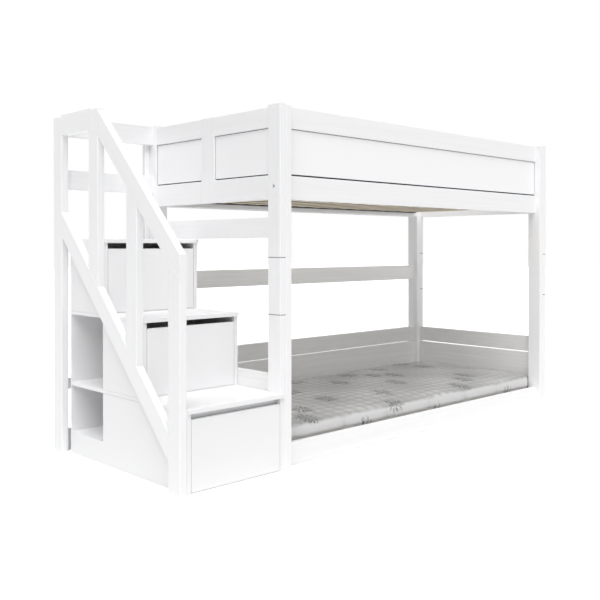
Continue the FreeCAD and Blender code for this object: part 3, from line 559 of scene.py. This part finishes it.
def quilted_knit(name):
    """Grey jersey: fine stitches and loosely printed bursts of strokes, with the top and its
    seams painted darker as shade.
    """
    material, tree = new_material(name)
    place = put(tree, "ShaderNodeTexCoord").outputs["Object"]
    cloth = put(tree, "ShaderNodeAttribute", attribute_name="laid_flat").outputs["Vector"]
    stitches = put(tree, "ShaderNodeTexVoronoi", {"Vector": place, "Scale": 1 / KNIT_PITCH})
    cloud = put(tree, "ShaderNodeTexNoise",
                {"Vector": place, "Scale": 45, "Detail": 4, "Roughness": 0.6})
    loft = put(tree, "ShaderNodeSeparateXYZ", {"Vector": cloth}).outputs["Z"]
    seam_shade_jitter = put(tree, "ShaderNodeMath",
               {0: cloud.outputs["Fac"], 1: 0.22, 2: -0.11}, operation="MULTIPLY_ADD")
    lofty = put(tree, "ShaderNodeMath", {0: loft, 1: seam_shade_jitter.outputs[0]}, operation="ADD")
    # Painted shade: the seams, low in loft, are drawn darker, and so is the whole top.
    quilted = put(tree, "ShaderNodeMix",
                  {6: linear(KNIT_SEAM_SHADE), 7: linear(KNIT_SHADED_TOP), 0: lofty.outputs[0]},
                  data_type="RGBA")
    top_shade_mask = put(tree, "ShaderNodeAttribute", attribute_name="top_shade_mask").outputs["Fac"]
    knit = put(tree, "ShaderNodeMix",
               {6: linear(KNIT_ON_SIDES), 7: quilted.outputs[2], 0: top_shade_mask},
               data_type="RGBA")
    cells = put(tree, "ShaderNodeTexVoronoi",
                {"Vector": cloth, "Scale": 1 / PRINT_SPACING, "Randomness": 0.75},
                voronoi_dimensions="2D")
    from_centre = put(tree, "ShaderNodeVectorMath",
                      {0: cloth, 1: cells.outputs["Position"]}, operation="SUBTRACT")
    ragged = put(tree, "ShaderNodeTexNoise", {"Vector": cloth, "Scale": 38, "Detail": 3})
    parts = put(tree, "ShaderNodeSeparateXYZ", {"Vector": from_centre.outputs[0]})
    angle = put(tree, "ShaderNodeMath", {0: parts.outputs["Y"], 1: parts.outputs["X"]},
                operation="ARCTAN2")
    rays = put(tree, "ShaderNodeMath", {0: angle.outputs[0], 1: PRINT_STROKES},
               operation="MULTIPLY")
    bent = put(tree, "ShaderNodeMath",
               {0: ragged.outputs["Fac"], 1: 16, 2: rays.outputs[0]}, operation="MULTIPLY_ADD")
    crests = put(tree, "ShaderNodeMath", {0: bent.outputs[0]}, operation="COSINE")
    shortened = put(tree, "ShaderNodeVectorMath",
                    {0: from_centre.outputs[0], 1: (1, PRINT_STRETCH, 0)},
                    operation="MULTIPLY")
    reach = put(tree, "ShaderNodeVectorMath", {0: shortened.outputs[0]}, operation="LENGTH")
    torn = put(tree, "ShaderNodeMath",
               {0: ragged.outputs["Fac"], 1: 0.09, 2: reach.outputs["Value"]},
               operation="MULTIPLY_ADD")
    inside = put(tree, "ShaderNodeMapRange",
                 {"Value": torn.outputs[0], "From Min": PRINT_RADIUS + 0.045,
                  "From Max": PRINT_RADIUS + 0.030})
    stroke = put(tree, "ShaderNodeMapRange",
                 {"Value": crests.outputs[0], "From Min": 0.05, "From Max": 0.4})
    burst = put(tree, "ShaderNodeMath", {0: inside.outputs[0], 1: stroke.outputs[0]},
                operation="MULTIPLY")
    faded = put(tree, "ShaderNodeMath", {0: burst.outputs[0], 1: 0.85}, operation="MULTIPLY")
    printed = put(tree, "ShaderNodeMix",
                  {6: knit.outputs[2], 7: linear(PRINT), 0: faded.outputs[0]},
                  data_type="RGBA")
    relief = put(tree, "ShaderNodeBump",
                 {"Height": stitches.outputs["Distance"], "Strength": 0.4, "Distance": 0.0006})
    shader = put(tree, "ShaderNodeBsdfPrincipled",
                 {"Base Color": printed.outputs[2], "Roughness": 0.9, "Sheen Weight": 0.15,
                  "Sheen Roughness": 0.5, "Normal": relief.outputs[0], "IOR": 1.5})
    put(tree, "ShaderNodeOutputMaterial", {"Surface": shader.outputs[0]})
    return material


mattress.data.materials.append(quilted_knit("quilted_knit"))
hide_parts("mattress")
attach(mattress, "bed_frame")

# ------------------------------------------------------------------ stair cabinets
# Chipboard and fibreboard panels, edged and lacquered white, dowelled
# together. Each tread overhangs its drawer a little. A rail closes the first
# drawer's finger slot behind, and a strip lies under each drawer front.
CABINET_PANELS = ["cabinet_left_panels", "cabinet_right_panels", "cabinet_dividers",
                  "cabinet_backs", "shelf_plinth", "tread_1", "tread_2", "tread_3"]
CABINET_LACQUER = "#EFEFF0"
SLOT_RAIL_BACK, SLOT_RAIL_THICK = 0.006, 0.016    # behind the drawer's front
SLOT_RAIL_RISE, SLOT_RAIL_EDGE = 0.028, 0.001     # over the drawer's box
FRONT_CLEARANCE = 0.004     # under each drawer's front
SILL_HEIGHT, SILL_SETBACK, SILL_EDGE = 0.0032, 0.001, 0.0004

cabinet_board = lacquered_board("cabinet_lacquer", CABINET_LACQUER, BOARD_ROUGHNESS)
cover(CABINET_PANELS, cabinet_board)

inner_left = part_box("cabinet_left_panels")[1].x
inner_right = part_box("cabinet_right_panels")[0].x
slot_rail_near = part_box("drawer_1_front")[1].y + SLOT_RAIL_BACK
strip("finger_slot_rail_1",
      (inner_left, slot_rail_near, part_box("drawer_1_box")[1].z + SLOT_RAIL_RISE),
      (inner_right, slot_rail_near + SLOT_RAIL_THICK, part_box("tread_1")[0].z),
      SLOT_RAIL_EDGE, cabinet_board)
for number in (1, 2, 3):
    front_low, front_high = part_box(f"drawer_{number}_front")
    base = front_low.z - FRONT_CLEARANCE
    strip(f"drawer_sill_{number}", (inner_left, front_low.y + SILL_SETBACK, base),
          (inner_right, front_high.y, base + SILL_HEIGHT),
          SILL_EDGE, cabinet_board)

# ------------------------------------------------------------------ drawers
# White lacquered fronts with a rounded finger slot at the top edge. The boxes
# are thin boards in a pale matt foil.
FOIL, FOIL_ROUGHNESS = "#D9D6CF", 0.6
cover(["drawer_1_front", "drawer_2_front", "drawer_3_front"], cabinet_board)
cover(["drawer_1_box", "drawer_2_box", "drawer_3_box"],
      lacquered_board("matt_foil_on_chipboard", FOIL, FOIL_ROUGHNESS))

# ------------------------------------------------------------------ stair railing
# Pine planks in the bed's lacquer. The handrail and the skirt rail climb at
# 45 degrees, screwed to the posts from the cabinets' side.
CLIMBING = (0, -math.pi / 4, math.pi / 2)
cover(["newel_post", "baluster", "platform_post", "rear_post", "rear_upright"], standing_pine)
cover(["handrail", "skirt_rail"], lacquered_pine("lacquered_pine_climbing", CLIMBING))
cover(["platform_side_rail"], pine_crossways)
cover(["platform_back_rails", "rear_tie_rails"], pine_lengthways)

# ------------------------------------------------------------------ floor, light and camera
# A plain pale studio: a floor that the camera sees as white, a white room,
# and one broad soft lamp, above and in front to the left.
FLOOR, FLOOR_SIZE, FLOOR_GLOW = "#F2F2F2", 60, 0.6
ROOM_LIGHT = 0.22
LAMP_STRENGTH, LAMP_WIDTH = 3.12, math.radians(60)
LAMP_FROM = Vector((-0.30, -0.365, 0.78))
CAMERA_AT = (-2.9946, -3.0506, 0.9287)      # solved from the photograph's straight edges
CAMERA_TILT, CAMERA_TURN = math.radians(90 - 0.28), math.radians(-45.27)
CAMERA_LENS, CAMERA_SHIFT = 49.0, (-0.0727, -0.0827)


def seen_directly(tree):
    """1 where the camera sees the surface itself, in a mirror or through glass."""
    ray = put(tree, "ShaderNodeLightPath")
    plain = put(tree, "ShaderNodeMath",
                {0: ray.outputs["Is Camera Ray"], 1: ray.outputs["Is Glossy Ray"]},
                operation="MAXIMUM")
    return put(tree, "ShaderNodeMath",
               {0: plain.outputs[0], 1: ray.outputs["Is Transmission Ray"]},
               operation="MAXIMUM").outputs[0]


bpy.ops.object.select_all(action="DESELECT")
bpy.ops.mesh.primitive_plane_add(size=FLOOR_SIZE)
floor = bpy.context.object
floor.name = "studio_floor"
floor_paint, tree = new_material("studio_floor_paint")
paint = put(tree, "ShaderNodeBsdfDiffuse", {"Color": linear(FLOOR)})
glow = put(tree, "ShaderNodeEmission", {"Color": (1, 1, 1, 1), "Strength": FLOOR_GLOW})
lit = put(tree, "ShaderNodeAddShader", {0: paint.outputs[0], 1: glow.outputs[0]})
floor_mix = put(tree, "ShaderNodeMixShader",
                {0: seen_directly(tree), 1: paint.outputs[0], 2: lit.outputs[0]})
put(tree, "ShaderNodeOutputMaterial", {"Surface": floor_mix.outputs[0]})
floor.data.materials.append(floor_paint)

world = bpy.data.worlds.new("studio_room")
bpy.context.scene.world = world
world.use_nodes = True
world.node_tree.nodes.clear()
strength = put(world.node_tree, "ShaderNodeMapRange",
               {"Value": seen_directly(world.node_tree), "To Min": ROOM_LIGHT, "To Max": 1})
room = put(world.node_tree, "ShaderNodeBackground",
           {"Color": (1, 1, 1, 1), "Strength": strength.outputs[0]})
put(world.node_tree, "ShaderNodeOutputWorld", {"Surface": room.outputs[0]})

lamp = bpy.data.objects.new("studio_lamp", bpy.data.lights.new("studio_lamp", "SUN"))
lamp.data.energy = LAMP_STRENGTH
lamp.data.angle = LAMP_WIDTH
lamp.rotation_euler = LAMP_FROM.to_track_quat("Z", "Y").to_euler()
bpy.context.scene.collection.objects.link(lamp)

camera = bpy.data.objects.new("camera", bpy.data.cameras.new("camera"))
camera.data.lens = CAMERA_LENS
camera.data.shift_x, camera.data.shift_y = CAMERA_SHIFT
camera.data.clip_end = 100
camera.location = CAMERA_AT
camera.rotation_euler = (CAMERA_TILT, 0, CAMERA_TURN)
bpy.context.scene.collection.objects.link(camera)
bpy.context.scene.camera = camera
bpy.context.scene.view_settings.view_transform = "Standard"
